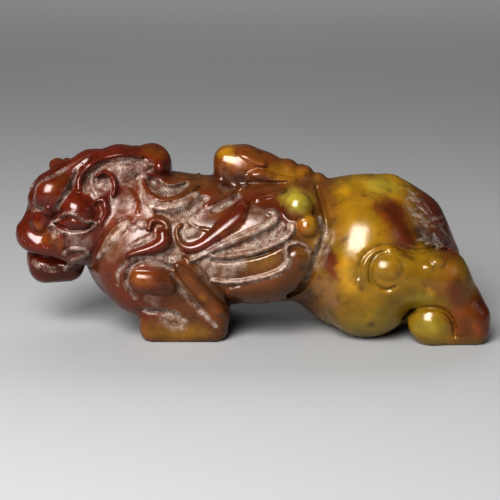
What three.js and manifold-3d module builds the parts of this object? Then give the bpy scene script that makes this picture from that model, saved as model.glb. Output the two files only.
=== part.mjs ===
// Jade carving of a crouching winged beast, one solid stone piece. Millimetres, +Z up.
// The head is at -X, turned a little to the -Y side; the tail is at +X. It stands on four feet at z = 0.
// The form is a field that is negative inside the stone: rounded masses blended into each other,
// then carved lines and lobes laid over the flanks and the head. A grid finds its surface.
import * as THREE from 'three';
import { mergeVertices } from 'three/addons/utils/BufferGeometryUtils.js';
import Module from 'manifold-3d';

// Driving dimensions
const SCALE = 1.02;              // carving is drawn 60.4 mm long and made 61.6 mm long
const HEAD_TURN = 16;            // degrees, head turned towards -Y
const HEAD_LEAN = 12;            // degrees, crown leaning away from -Y
const HEAD_AT = [-19.0, -0.5, 15.0];
const DRAWING_TILT = 14;         // degrees, the carved lines are drawn on planes seen from this height
const FLANK_PLANE = 9.0;         // mm from the middle, plane of the flank drawing
const HEAD_PLANE = 5.4;          // mm from the middle of the head, plane of the head drawing
const PLUME_SIDE = 0.8;          // mm, plume on the back sits a little to the +Y side
const MOUTH_DEPTH = 0.6;         // mm
const MOUTH_HEIGHT = 0.5;        // mm, half the height of the mouth line
const SOLE_LEVEL = 0.0;          // mm, feet are cut flat here
const GROUND_DEPTH = 20;         // mm, of the block that cuts the soles

// Grid of the surface: [start, step] pairs in mm, close over the head and wide over the smooth rump
const GRID_X = [[-32.4, 0.92], [-20, 1.05], [9.2, 1.6], [32.6, 0]];
const GRID_Y = [[-14.4, 1.2], [14.4, 0]];
const GRID_Z = [[-2.2, 1.06], [26.4, 0]];

const radians = (degrees) => degrees * Math.PI / 180;

// Blends and masses

function smoothMin(a, b, blend) {
  const h = Math.max(blend - Math.abs(a - b), 0);
  return Math.min(a, b) - h * h / (4 * blend);
}

function fade(from, to, value) {
  const t = Math.min(Math.max((value - from) / (to - from), 0), 1);
  return t * t * (3 - 2 * t);
}

function ellipsoid(p, centre, radii) {
  const q = [0, 1, 2].map((i) => p[i] - centre[i]);
  const near = Math.hypot(q[0] / radii[0], q[1] / radii[1], q[2] / radii[2]) + 1e-6;
  const far = Math.hypot(q[0] / radii[0] ** 2, q[1] / radii[1] ** 2, q[2] / radii[2] ** 2) + 1e-6;
  return near * (near - 1) / far;
}

// Ellipsoid pitched about the side axis, nose down for a positive angle
function pitchedEllipsoid(p, centre, radii, angle) {
  const c = Math.cos(radians(angle));
  const s = Math.sin(radians(angle));
  const z = p[2] - centre[2];
  const x = p[0] - centre[0];
  return ellipsoid([c * x - s * z, p[1] - centre[1], c * z + s * x], [0, 0, 0], radii);
}

// Chain of tapered round sticks through joints [x, y, z, radius], stretched sideways by breadth
function limb(p, joints, blend, breadth = 1) {
  let distance = Infinity;
  for (let i = 0; i + 1 < joints.length; i += 1) {
    const [ax, ay, az, ra] = joints[i];
    const [bx, by, bz, rb] = joints[i + 1];
    const d = [bx - ax, (by - ay) / breadth, bz - az];
    const q = [p[0] - ax, (p[1] - ay) / breadth, p[2] - az];
    const along = (q[0] * d[0] + q[1] * d[1] + q[2] * d[2]) / (d[0] ** 2 + d[1] ** 2 + d[2] ** 2);
    const t = Math.min(Math.max(along, 0), 1);
    const reach = Math.hypot(q[0] - t * d[0], q[1] - t * d[1], q[2] - t * d[2]);
    const stick = reach - (ra + (rb - ra) * t);
    distance = i === 0 ? stick : smoothMin(distance, stick, blend);
  }
  return distance;
}

function roundedBlock(p, centre, half, round) {
  const q = [0, 1, 2].map((i) => Math.abs(p[i] - centre[i]) - half[i] + round);
  const outside = Math.hypot(Math.max(q[0], 0), Math.max(q[1], 0), Math.max(q[2], 0));
  return outside + Math.min(Math.max(q[0], q[1], q[2]), 0) - round;
}

// Masses of the body. p is a point, q the same point folded onto one side.

function trunk(p, q) {
  const spine = [[-14, 0, 11.9, 7.6], [-6, 0, 11.1, 8.2], [4, 0, 11.7, 7.7], [12, 0, 11.5, 7.5]];
  let d = limb(p, spine, 2.0, 1.15);
  d = smoothMin(d, ellipsoid(p, [-12.0, 0, 13.6], [7.4, 8.4, 6.7]), 2.0);
  d = smoothMin(d, ellipsoid(p, [-15.2, 0, 9.4], [5.8, 6.6, 6.5]), 2.0);
  d = smoothMin(d, ellipsoid(p, [15.4, 0, 9.5], [11.2, 9.4, 10.5]), 1.5);
  return smoothMin(d, ellipsoid(q, [0.8, 7.0, 11.0], [8.0, 3.2, 6.2]), 1.0);
}

function hindLeg(q) {
  const shank = [[17.5, 7.7, 10.3, 4.0], [23.5, 7.4, 9.0, 3.3], [26.2, 6.6, 4.6, 3.3]];
  let d = ellipsoid(q, [14.9, 5.2, 9.0], [7.2, 6.3, 9.1]);
  d = smoothMin(d, limb(q, shank, 1.5), 0.9);
  d = smoothMin(d, ellipsoid(q, [25.4, 6.4, 2.8], [4.9, 4.6, 3.9]), 1.0);
  return smoothMin(d, ellipsoid(q, [22.6, 8.6, 2.6], [3.0, 2.7, 2.8]), 0.5);
}

function foreLeg(q) {
  let d = ellipsoid(q, [-12.7, 5.0, 9.9], [6.9, 5.7, 7.4]);
  d = smoothMin(d, limb(q, [[-12.6, 6.4, 8.4, 3.9], [-8.6, 5.7, 4.6, 3.2]], 1.5), 0.8);
  d = smoothMin(d, limb(q, [[-9.2, 8.3, 9.7, 1.6], [-4.6, 6.4, 3.5, 2.0]], 1.0), 0.6);
  return smoothMin(d, roundedBlock(q, [-8.4, 5.0, 2.2], [5.6, 3.7, 2.7], 1.9), 0.9);
}

function tail(p) {
  const joints = [[18.0, 0, 18.0, 2.0], [22.2, 0, 14.6, 2.2], [24.7, 0, 9.0, 2.4], [25.6, 0, 4.5, 2.0]];
  return limb(p, joints, 1.5, 1.2);
}

function wingKnob(q) {
  const d = ellipsoid(q, [5.9, 7.6, 17.5], [1.8, 1.8, 1.9]);
  return smoothMin(d, limb(q, [[6.2, 8.0, 16.6, 1.4], [7.2, 8.4, 14.8, 1.3]], 1.0), 0.5);
}

function plume(p) {
  const w = [p[0], p[1] - PLUME_SIDE, p[2]];
  let d = limb(w, [[-2.3, 0, 20.8, 2.9], [1.2, 0, 20.0, 2.7], [6.5, 0, 18.6, 2.2]], 1.0, 1.2);
  d = smoothMin(d, ellipsoid(w, [4.9, 0, 20.7], [1.3, 2.2, 1.2]), 0.5);
  d = smoothMin(d, ellipsoid(w, [6.9, 0, 19.9], [1.3, 2.2, 1.2]), 0.5);
  return smoothMin(d, ellipsoid(w, [8.8, 0, 19.1], [1.1, 1.9, 1.0]), 0.5);
}

function body(p) {
  const q = [p[0], Math.abs(p[1]), p[2]];
  let d = trunk(p, q);
  d = smoothMin(d, hindLeg(q), 0.9);
  d = smoothMin(d, tail(p), 0.8);
  d = smoothMin(d, foreLeg(q), 1.0);
  d = smoothMin(d, wingKnob(q), 0.4);
  return smoothMin(d, plume(p), 0.6);
}

// Masses of the head. p is [forward, side, up] from the middle of the head, q folded onto one side.

function face(p, q) {
  let d = ellipsoid(p, [0.2, 0, 0.7], [7.6, 6.3, 6.0]);
  d = smoothMin(d, ellipsoid(q, [2.6, 3.6, -1.6], [5.0, 2.9, 3.6]), 1.5);
  d = smoothMin(d, ellipsoid(p, [6.3, 0, -2.8], [4.6, 4.3, 2.1]), 1.2);
  const nose = [[7.0, 0, 2.0, 2.0], [8.2, 0, -0.2, 1.7], [8.9, 0, -2.0, 2.3]];
  d = smoothMin(d, limb(p, nose, 1.0, 1.15), 0.8);
  d = smoothMin(d, ellipsoid(q, [7.8, 2.0, -2.4], [1.9, 1.6, 1.5]), 0.5);
  d = smoothMin(d, ellipsoid(q, [6.5, 2.5, 3.2], [2.8, 2.0, 2.4]), 0.6);
  return smoothMin(d, pitchedEllipsoid(q, [3.5, 4.0, 3.1], [2.6, 2.4, 1.9], 20), 0.4);
}

function crest(p) {
  const ridge = [[8.2, 0, 3.4, 1.6], [6.6, 0, 5.2, 1.7], [5.0, 0, 5.7, 1.8],
    [1.8, 0, 6.4, 1.9], [-2.1, 0, 6.9, 1.9], [-6.6, 0, 7.0, 1.9]];
  const d = limb(p, ridge, 1.0, 1.5);
  return smoothMin(d, limb(p, [[-6.5, 0, 6.9, 1.9], [-7.0, 0, 3.0, 2.2]], 1.0, 1.8), 1.0);
}

function lowerJaw(p, q) {
  let d = pitchedEllipsoid(p, [5.7, 0, -6.0], [4.5, 3.7, 2.3], -8);
  return smoothMin(d, limb(q, [[5.0, 2.2, -5.4, 1.3], [0.8, 3.0, -2.2, 1.9]], 0.6), 0.6);
}

// Line of the closed mouth, cut round the muzzle
function mouthLine([forward, , up]) {
  const off = (up + 4.75 - 0.1 * (forward - 8)) / MOUTH_HEIGHT;
  return MOUTH_DEPTH * Math.exp(-off * off) * fade(2.5, 5, forward);
}

function head(p) {
  const q = [p[0], Math.abs(p[1]), p[2]];
  const d = smoothMin(face(p, q), crest(p), 1.0);
  const throat = limb(p, [[-1, 0, -3.0, 2.6], [6.4, 0, -4.6, 1.9]], 1.0);
  return Math.min(smoothMin(d, lowerJaw(p, q), 0.3) + mouthLine(p), throat);
}

// Axes of the turned head, and the direction the drawings are seen along

const turn = radians(HEAD_TURN);
const lean = radians(HEAD_LEAN);
const tilt = radians(DRAWING_TILT);
const FORWARD = [-Math.cos(turn), -Math.sin(turn), 0];
const SIDE = [Math.cos(lean) * Math.sin(turn), -Math.cos(lean) * Math.cos(turn), -Math.sin(lean)];
const UP = [Math.sin(lean) * Math.sin(turn), -Math.sin(lean) * Math.cos(turn), Math.cos(lean)];
const SIGHT = [0, Math.cos(tilt), -Math.sin(tilt)];
const dot = (a, b) => a[0] * b[0] + a[1] * b[1] + a[2] * b[2];
const FORWARD_SHIFT = dot(SIGHT, FORWARD) / dot(SIGHT, SIDE);
const UP_SHIFT = dot(SIGHT, UP) / dot(SIGHT, SIDE);

function toHead(p) {
  const q = [0, 1, 2].map((i) => p[i] - HEAD_AT[i]);
  return [dot(q, FORWARD), dot(q, SIDE), dot(q, UP)];
}

// Carving. Every stroke is a line [along, up, half-width] with a height; negative heights are cut in.

function wingStrokes() {
  return [
    // curled lead feather
    [1.0, [[0.6, 16.4, 1.3], [-1, 16.6, 1.7], [-2.6, 15.5, 1.6], [-4.6, 13.6, 1.1], [-7.9, 12.7, 0.9]]],
    // three long feathers below it
    [0.6, [[-3.9, 11.9, 0.8], [-1, 12.8, 1.0], [1, 13.5, 1.2], [3.2, 14.5, 1.3], [4.4, 15.8, 1.0]]],
    [0.9, [[-3.5, 9.8, 1.0], [-0.8, 9.9, 1.6], [1.8, 10.4, 1.7], [3.8, 11.4, 1.6], [5.8, 13.4, 1.1]]],
    [1.0, [[-2.4, 6.6, 1.2], [0.6, 6.9, 1.5], [3.4, 7.8, 1.7], [5.6, 9.4, 1.9], [6.4, 11, 1.5]]],
    // furrow between wing and haunch
    [-0.9, [[8.3, 19.8, 0.8], [8.9, 16.7, 1.0], [9, 14.1, 1.0], [8.3, 11.4, 1.0], [6.2, 6.5, 0.9]]],
  ];
}

function foreLegStrokes() {
  return [
    // elbow lobe, and the strip down the back of the leg
    [0.8, [[-13.6, 8.4, 1.9], [-11, 8.3, 1.9], [-9.5, 7, 1.5]]],
    [0.6, [[-9.3, 9.9, 1.0], [-7.2, 7.7, 1.4], [-5, 5.8, 1.5], [-3.3, 4.3, 1.4]]],
    // comma on the shoulder
    [0.9, [[-10.9, 14, 1.1], [-11.2, 12.9, 1.2], [-12.6, 12.2, 1.0], [-15, 12, 0.8]]],
    // furrow sweeping round the elbow, and the one over the foot
    [-0.7, [[-8.7, 12.3, 0.8], [-10.6, 10.9, 0.9], [-14.7, 10.8, 0.9], [-15.9, 9.8, 0.9],
      [-15.7, 8.4, 0.9], [-13.9, 5.9, 0.8]]],
    [-0.6, [[-13.6, 4.3, 0.9], [-11.1, 4.7, 1.0], [-9.2, 4, 1.0], [-7.5, 3.1, 0.8]]],
  ];
}

function neckStrokes() {
  return [
    // jowl, and the forked lock of the mane behind it
    [0.6, [[-16.3, 17.9, 2.6], [-16.2, 17.8, 2.6]]],
    [0.7, [[-13.3, 21.5, 1.0], [-13, 19.5, 1.0], [-12.3, 18.2, 1.0], [-10.7, 17.6, 1.0],
      [-8.6, 17.8, 1.0], [-6.3, 18.9, 0.9]]],
    // hollows above and below the lock
    [-0.7, [[-11.6, 21.0, 1.1], [-10, 20.2, 1.2], [-8.3, 20.6, 1.1]]],
    [-0.7, [[-11.5, 16.2, 1.0], [-9, 16.4, 1.0], [-6.5, 16.6, 1.0], [-5, 17.2, 1.0]]],
    // furrow between shoulder and cheek
    [-0.7, [[-19.2, 10.7, 0.9], [-18, 12.9, 1.0], [-16.2, 14.6, 1.0], [-14.6, 15.8, 0.9],
      [-13.3, 16.1, 0.8]]],
  ];
}

function haunchStrokes() {
  return [
    // round boss inside the curl of the haunch
    [0.5, [[17.2, 10.2, 1.9], [17.3, 10.1, 1.9]]],
    // curl around it and the top line of the shank
    [-0.5, [[16.3, 12.6, 0.8], [14.6, 11.6, 0.9], [14.1, 9.9, 0.9], [14.7, 8.2, 0.9], [16.8, 7.0, 0.8]]],
    [-0.5, [[16.9, 12.8, 0.8], [20, 12.5, 0.9], [23.8, 12.5, 0.9], [25.9, 11.7, 0.8]]],
    // two knuckles on the hock
    [0.5, [[22.1, 10.3, 1.0], [22.3, 10.2, 1.0]]],
    [0.5, [[23.4, 11.0, 0.9], [23.6, 10.9, 0.9]]],
    // arch over the toe
    [-0.6, [[19.3, 3.9, 0.7], [20.2, 4.6, 0.8], [22.1, 5.5, 0.8], [23.8, 5.4, 0.8], [25.9, 3, 0.7]]],
  ];
}

function headStrokes() {
  return [
    // hollow of the eye under the brow, and the eye in it
    [-0.9, [[7.4, 1.2, 0.8], [5.9, 0.7, 1.5], [4.3, 0.7, 1.6], [2.6, 0.7, 1.1]]],
    [0.5, [[6.0, 1.1, 0.8], [4.9, 1.1, 1.0], [3.6, 0.9, 0.9]]],
    // ear curled over, and the lobe below it
    [0.8, [[1.9, 7.2, 0.8], [0.7, 8.0, 0.9], [-0.5, 7.4, 0.9], [-0.9, 6.2, 0.9], [-0.5, 5, 0.8]]],
    [0.5, [[0.9, 4.3, 1.0], [0.5, 4.2, 1.0]]],
    // band along the crest, the groove under it and the boss at its end
    [0.3, [[3.9, 8, 0.8], [2.3, 9.4, 0.8], [0.3, 10.1, 0.8], [-2.4, 10.2, 0.8], [-4.7, 9.9, 0.8]]],
    [-0.6, [[2.5, 8.2, 0.7], [0.9, 9.0, 0.8], [-0.8, 9.2, 0.9], [-3.1, 9.0, 0.9], [-4.8, 8.4, 0.8]]],
    [0.6, [[-5.6, 8.4, 1.0], [-5.9, 8.3, 1.0]]],
  ];
}

// Smooth curve through the points of a stroke, with its widths
function smoothLine(points, parts = 4) {
  const knots = points.map((point) => new THREE.Vector3(...point));
  if (knots.length < 3) return points;
  return new THREE.CatmullRomCurve3(knots, false, 'catmullrom', 0.5)
    .getPoints(parts * (knots.length - 1))
    .map((v) => [v.x, v.y, v.z]);
}

function prepareStrokes(strokes) {
  return strokes.map(([height, points]) => {
    const line = smoothLine(points);
    const margin = 1.3 * Math.max(...line.map((k) => k[2]));
    const xs = line.map((k) => k[0]);
    const ys = line.map((k) => k[1]);
    const box = [Math.min(...xs) - margin, Math.max(...xs) + margin,
      Math.min(...ys) - margin, Math.max(...ys) + margin];
    return { height, line, box };
  });
}

const FLANK_CARVING = prepareStrokes([
  ...wingStrokes(), ...foreLegStrokes(), ...neckStrokes(), ...haunchStrokes()]);
const HEAD_CARVING = prepareStrokes(headStrokes());

// Distance from the middle of a stroke, 1 at its edge
function acrossStroke(u, v, line) {
  let best = 9;
  for (let i = 0; i + 1 < line.length; i += 1) {
    const [au, av, aw] = line[i];
    const [bu, bv, bw] = line[i + 1];
    const du = bu - au;
    const dv = bv - av;
    const along = ((u - au) * du + (v - av) * dv) / (du * du + dv * dv);
    const t = Math.min(Math.max(along, 0), 1);
    best = Math.min(best, Math.hypot(u - au - t * du, v - av - t * dv) / (aw + (bw - aw) * t));
  }
  return best;
}

function carvingHeight(u, v, carving) {
  let raised = 0;
  let sunk = 0;
  for (const { height, line, box } of carving) {
    if (u < box[0] || u > box[1] || v < box[2] || v > box[3]) continue;
    const q = acrossStroke(u, v, line);
    if (height > 0) raised = Math.max(raised, height * Math.max(1 - q * q, 0) ** 0.7);
    else sunk = Math.max(sunk, -height * Math.max(1 - 0.8 * q * q, 0) ** 1.5);
  }
  return raised - sunk;
}

// The whole field, carving included
const CARVING_REACH = 1.8;

function stone(p) {
  const h = toHead(p);
  const bodyField = body(p);
  const headField = head(h);
  const plain = smoothMin(bodyField, headField, 0.5);
  if (Math.abs(plain) > CARVING_REACH) return plain;
  const bodyShare = fade(-0.8, 0.8, headField - bodyField);
  const side = Math.abs(p[1]);
  const up = p[2] - Math.tan(tilt) * (side - FLANK_PLANE);
  const flank = carvingHeight(p[0], up, FLANK_CARVING) * fade(1, 4, side);
  const headSide = Math.abs(h[1]);
  const shift = HEAD_PLANE - headSide;
  const headUp = h[2] + shift * UP_SHIFT;
  const headForward = h[0] + shift * FORWARD_SHIFT;
  const headRelief = carvingHeight(headForward, headUp, HEAD_CARVING) * fade(0.3, 2, headSide);
  return plain - flank * bodyShare - headRelief * (1 - bodyShare);
}

// Surface of the field on a grid: one corner per crossed cell, joined by quads

function gridLine(stops) {
  const values = [stops[0][0]];
  for (let i = 0; i + 1 < stops.length; i += 1) {
    const [from, step] = stops[i];
    const to = stops[i + 1][0];
    const count = Math.round((to - from) / step);
    for (let k = 1; k <= count; k += 1) values.push(from + (to - from) * k / count);
  }
  return values;
}

function surface(field, xs, ys, zs) {
  const [nx, ny, nz] = [xs.length, ys.length, zs.length];
  const at = (i, j, k) => (i * ny + j) * nz + k;
  const value = new Float64Array(nx * ny * nz);
  for (let i = 0; i < nx; i += 1) {
    for (let j = 0; j < ny; j += 1) {
      for (let k = 0; k < nz; k += 1) value[at(i, j, k)] = field([xs[i], ys[j], zs[k]]);
    }
  }
  fillPinches(value, [nx, ny, nz], at);
  fillHollows(value, [nx, ny, nz], at);
  const corners = [];
  const cornerOf = new Int32Array(nx * ny * nz).fill(-1);
  for (let i = 0; i + 1 < nx; i += 1) {
    for (let j = 0; j + 1 < ny; j += 1) {
      for (let k = 0; k + 1 < nz; k += 1) {
        const point = cellPoint(value, at, [i, j, k], [xs, ys, zs]);
        if (!point) continue;
        cornerOf[at(i, j, k)] = corners.length / 3;
        corners.push(...point);
      }
    }
  }
  const triangles = [];
  const size = [nx, ny, nz];
  for (let axis = 0; axis < 3; axis += 1) {
    const b = (axis + 1) % 3;
    const c = (axis + 2) % 3;
    for (let i = 0; i < nx; i += 1) {
      for (let j = 0; j < ny; j += 1) {
        for (let k = 0; k < nz; k += 1) {
          const cell = [i, j, k];
          if (cell[axis] + 1 >= size[axis] || cell[b] < 1 || cell[c] < 1) continue;
          const next = [...cell];
          next[axis] += 1;
          const inside = value[at(...cell)] < 0;
          if (inside === value[at(...next)] < 0) continue;
          const ring = [[1, 1], [0, 1], [0, 0], [1, 0]].map(([back, down]) => {
            const near = [...cell];
            near[b] -= back;
            near[c] -= down;
            return cornerOf[at(...near)];
          });
          if (!inside) ring.reverse();
          triangles.push(...splitQuad(ring, corners, field));
        }
      }
    }
  }
  return { corners, triangles };
}

// Two triangles from a quad, split along the diagonal whose middle lies nearer the surface
function splitQuad([a, b, c, d], corners, field) {
  const offSurface = (m, n) => {
    const middle = [0, 1, 2].map((i) => (corners[3 * m + i] + corners[3 * n + i]) / 2);
    return Math.abs(field(middle));
  };
  return offSurface(a, c) < offSurface(b, d) ? [a, b, c, a, c, d] : [b, c, d, b, d, a];
}

// Where stone meets stone only across the diagonal of a grid square, the weaker gap is filled
const FILLED = -0.01;

function fillPinches(value, size, at) {
  let found = true;
  while (found) {
    found = false;
    for (let axis = 0; axis < 3; axis += 1) {
      const b = (axis + 1) % 3;
      for (let i = 0; i < size[0]; i += 1) {
        for (let j = 0; j < size[1]; j += 1) {
          for (let k = 0; k < size[2]; k += 1) {
            const cell = [i, j, k];
            if (cell[axis] + 1 >= size[axis] || cell[b] + 1 >= size[b]) continue;
            const ring = [[0, 0], [1, 0], [1, 1], [0, 1]].map(([u, v]) => {
              const corner = [...cell];
              corner[axis] += u;
              corner[b] += v;
              return at(...corner);
            });
            const inside = ring.map((n) => value[n] < 0);
            if (inside[0] !== inside[2] || inside[1] !== inside[3] || inside[0] === inside[1]) continue;
            const [one, other] = inside[0] ? [ring[1], ring[3]] : [ring[0], ring[2]];
            value[value[one] < value[other] ? one : other] = FILLED;
            found = true;
          }
        }
      }
    }
  }
}

// Fills every gap that the air around the carving can't reach
function fillHollows(value, size, at) {
  const reached = new Uint8Array(value.length);
  const waiting = [[0, 0, 0]];
  reached[at(0, 0, 0)] = 1;
  while (waiting.length) {
    const cell = waiting.pop();
    for (let axis = 0; axis < 3; axis += 1) {
      for (const step of [-1, 1]) {
        const next = [...cell];
        next[axis] += step;
        if (next[axis] < 0 || next[axis] >= size[axis]) continue;
        const n = at(...next);
        if (reached[n] || value[n] < 0) continue;
        reached[n] = 1;
        waiting.push(next);
      }
    }
  }
  for (let n = 0; n < value.length; n += 1) {
    if (!reached[n] && value[n] >= 0) value[n] = FILLED;
  }
}

// Mean of the crossings on the edges of one cell
function cellPoint(value, at, cell, lines) {
  const sum = [0, 0, 0];
  let crossings = 0;
  for (let axis = 0; axis < 3; axis += 1) {
    const b = (axis + 1) % 3;
    const c = (axis + 2) % 3;
    for (const [up, over] of [[0, 0], [0, 1], [1, 0], [1, 1]]) {
      const from = [...cell];
      from[b] += up;
      from[c] += over;
      const to = [...from];
      to[axis] += 1;
      const v0 = value[at(...from)];
      const v1 = value[at(...to)];
      if ((v0 < 0) === (v1 < 0)) continue;
      const t = v0 / (v0 - v1);
      for (let i = 0; i < 3; i += 1) {
        sum[i] += lines[i][from[i]] + t * (lines[i][to[i]] - lines[i][from[i]]);
      }
      crossings += 1;
    }
  }
  return crossings ? sum.map((v) => v / crossings) : null;
}

// Solid with its feet cut flat
async function carvedSolid() {
  const wasm = await Module();
  wasm.setup();
  const toSolid = (corners, triangles) => new wasm.Manifold(new wasm.Mesh({
    numProp: 3,
    vertProperties: Float32Array.from(corners),
    triVerts: Uint32Array.from(triangles),
  }));
  const { corners, triangles } = surface(stone, gridLine(GRID_X), gridLine(GRID_Y), gridLine(GRID_Z));
  const ground = new THREE.BoxGeometry(100, 100, GROUND_DEPTH);
  ground.translate(0, 0, SOLE_LEVEL - GROUND_DEPTH / 2);
  ground.deleteAttribute('normal');
  ground.deleteAttribute('uv');
  const merged = mergeVertices(ground);
  const below = toSolid(merged.attributes.position.array, merged.index.array);
  return toSolid(corners, triangles).subtract(below);
}

// Millimetres, scaled to the full length and centred over its own footprint
function toGeometry(solid) {
  const mesh = solid.getMesh();
  const geometry = new THREE.BufferGeometry();
  geometry.setAttribute('position', new THREE.BufferAttribute(Float32Array.from(mesh.vertProperties), 3));
  geometry.setIndex(Array.from(mesh.triVerts));
  geometry.scale(SCALE, SCALE, SCALE);
  geometry.computeBoundingBox();
  const middle = geometry.boundingBox.getCenter(new THREE.Vector3());
  geometry.translate(-middle.x, -middle.y, 0);
  geometry.computeVertexNormals();
  return geometry;
}

const jade = new THREE.MeshStandardMaterial({ color: 0x7a4a22, roughness: 0.25, metalness: 0.0 });
jade.name = 'jade';

const carving = new THREE.Mesh(toGeometry(await carvedSolid()), jade);
carving.name = 'jade_beast';

const group = new THREE.Group();
group.name = 'jade_carving';
group.add(carving);

export default group;
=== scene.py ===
# Looks of the jade carving: the stone with its fine carved lines, its colours and its polish.
import math

import bpy
import numpy as np
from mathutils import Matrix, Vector


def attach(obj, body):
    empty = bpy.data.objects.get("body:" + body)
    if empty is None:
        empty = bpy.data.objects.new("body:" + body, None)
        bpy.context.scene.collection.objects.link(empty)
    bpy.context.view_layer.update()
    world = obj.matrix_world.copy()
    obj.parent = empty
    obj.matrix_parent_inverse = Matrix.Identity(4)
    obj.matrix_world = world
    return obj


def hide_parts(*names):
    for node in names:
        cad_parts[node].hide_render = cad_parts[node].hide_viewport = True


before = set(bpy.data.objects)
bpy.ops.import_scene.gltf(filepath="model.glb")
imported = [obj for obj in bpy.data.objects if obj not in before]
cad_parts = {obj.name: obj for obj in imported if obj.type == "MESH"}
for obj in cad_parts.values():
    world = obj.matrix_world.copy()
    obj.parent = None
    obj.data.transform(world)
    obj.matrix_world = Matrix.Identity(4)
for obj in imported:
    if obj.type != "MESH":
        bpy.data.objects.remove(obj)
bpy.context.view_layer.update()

MM = 0.001

# Sizes in millimetres, the same as the solid's
SCALE = 1.02
HEAD_TURN = math.radians(16)
HEAD_LEAN = math.radians(12)
HEAD_AT = (-19.0, -0.5, 15.0)
DRAWING_TILT = math.radians(14)
FLANK_PLANE = 9.0
HEAD_PLANE = 5.4
PLUME_SIDE = 0.8
MOUTH_DEPTH = 0.55
MOUTH_HEIGHT = 0.32
CARVING_REACH = 1.8
RUMP_SEED = 5

# Grid of the fine surface: [start, step] pairs, close over the carved half and wider over the rump
GRID_X = [(-32.4, 0.25), (9.2, 0.36), (32.6, 0)]
GRID_Y = [(-14.4, 0.26), (14.4, 0)]
GRID_Z = [(-1.2, 0.25), (26.4, 0)]
SLAB = 24


# Blends and masses

def smooth_min(a, b, blend):
    h = np.maximum(blend - np.abs(a - b), 0)
    return np.minimum(a, b) - h * h / (4 * blend)


def fade(start, end, value):
    t = np.clip((value - start) / (end - start), 0, 1)
    return t * t * (3 - 2 * t)


def ellipsoid(p, centre, radii):
    q = [p[i] - centre[i] for i in range(3)]
    near = np.sqrt(sum((q[i] / radii[i]) ** 2 for i in range(3))) + 1e-6
    far = np.sqrt(sum((q[i] / radii[i] ** 2) ** 2 for i in range(3))) + 1e-6
    return near * (near - 1) / far


def pitched_ellipsoid(p, centre, radii, degrees):
    """Ellipsoid pitched about the side axis, nose down for a positive angle."""
    c, s = math.cos(math.radians(degrees)), math.sin(math.radians(degrees))
    x, y, z = (p[i] - centre[i] for i in range(3))
    return ellipsoid((c * x - s * z, y, c * z + s * x), (0, 0, 0), radii)


def limb(p, joints, blend, breadth=1.0):
    """Chain of tapered round sticks through joints (x, y, z, radius), stretched sideways by breadth."""
    distance = None
    for (ax, ay, az, ra), (bx, by, bz, rb) in zip(joints, joints[1:]):
        d = (bx - ax, (by - ay) / breadth, bz - az)
        q = (p[0] - ax, (p[1] - ay) / breadth, p[2] - az)
        length = d[0] ** 2 + d[1] ** 2 + d[2] ** 2
        t = np.clip((q[0] * d[0] + q[1] * d[1] + q[2] * d[2]) / length, 0, 1)
        reach = np.sqrt(sum((q[i] - t * d[i]) ** 2 for i in range(3)))
        stick = reach - (ra + (rb - ra) * t)
        distance = stick if distance is None else smooth_min(distance, stick, blend)
    return distance


def rounded_block(p, centre, half, rounding):
    q = [np.abs(p[i] - centre[i]) - half[i] + rounding for i in range(3)]
    outside = np.sqrt(sum(np.maximum(v, 0) ** 2 for v in q))
    return outside + np.minimum(np.maximum(np.maximum(q[0], q[1]), q[2]), 0) - rounding


# Masses of the body. p is a point, q the same point folded onto one side.

def trunk(p, q):
    spine = [(-14, 0, 11.9, 7.6), (-6, 0, 11.1, 8.2), (4, 0, 11.7, 7.7), (12, 0, 11.5, 7.5)]
    d = limb(p, spine, 2.0, 1.15)
    d = smooth_min(d, ellipsoid(p, (-12.0, 0, 13.6), (7.4, 8.4, 6.7)), 2.0)
    d = smooth_min(d, ellipsoid(p, (-15.2, 0, 9.4), (5.8, 6.6, 6.5)), 2.0)
    d = smooth_min(d, ellipsoid(p, (15.4, 0, 9.5), (11.2, 9.4, 10.5)), 1.5)
    return smooth_min(d, ellipsoid(q, (0.8, 7.0, 11.0), (8.0, 3.2, 6.2)), 1.0)


def hind_leg(q):
    shank = [(17.5, 7.6, 9.4, 4.3), (23.5, 7.2, 8.2, 3.7), (26.0, 6.5, 4.8, 3.4)]
    d = ellipsoid(q, (14.9, 5.2, 9.0), (7.2, 6.3, 9.1))
    d = smooth_min(d, limb(q, shank, 1.5), 0.9)
    d = smooth_min(d, rounded_block(q, (25.6, 6.2, 2.5), (4.7, 3.9, 3.0), 2.2), 1.0)
    return smooth_min(d, ellipsoid(q, (22.9, 8.0, 2.7), (3.0, 2.9, 3.0)), 0.6)


def fore_leg(q):
    d = ellipsoid(q, (-12.7, 5.0, 9.9), (6.9, 5.7, 7.4))
    d = smooth_min(d, limb(q, [(-12.6, 6.4, 8.4, 3.9), (-8.6, 5.7, 4.6, 3.2)], 1.5), 0.8)
    d = smooth_min(d, limb(q, [(-9.2, 8.3, 9.7, 1.6), (-4.6, 6.4, 3.5, 2.0)], 1.0), 0.6)
    return smooth_min(d, rounded_block(q, (-8.4, 5.0, 2.2), (5.6, 3.7, 2.7), 1.9), 0.9)


def tail(p):
    joints = [(18.0, 0, 18.0, 2.0), (22.2, 0, 14.6, 2.2), (24.7, 0, 9.0, 2.4), (25.6, 0, 4.5, 2.0)]
    return limb(p, joints, 1.5, 1.2)


def wing_knob(q):
    d = ellipsoid(q, (5.9, 7.6, 17.4), (1.9, 1.9, 1.9))
    return smooth_min(d, ellipsoid(q, (7.0, 8.0, 15.0), (1.5, 1.7, 1.6)), 0.3)


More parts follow.
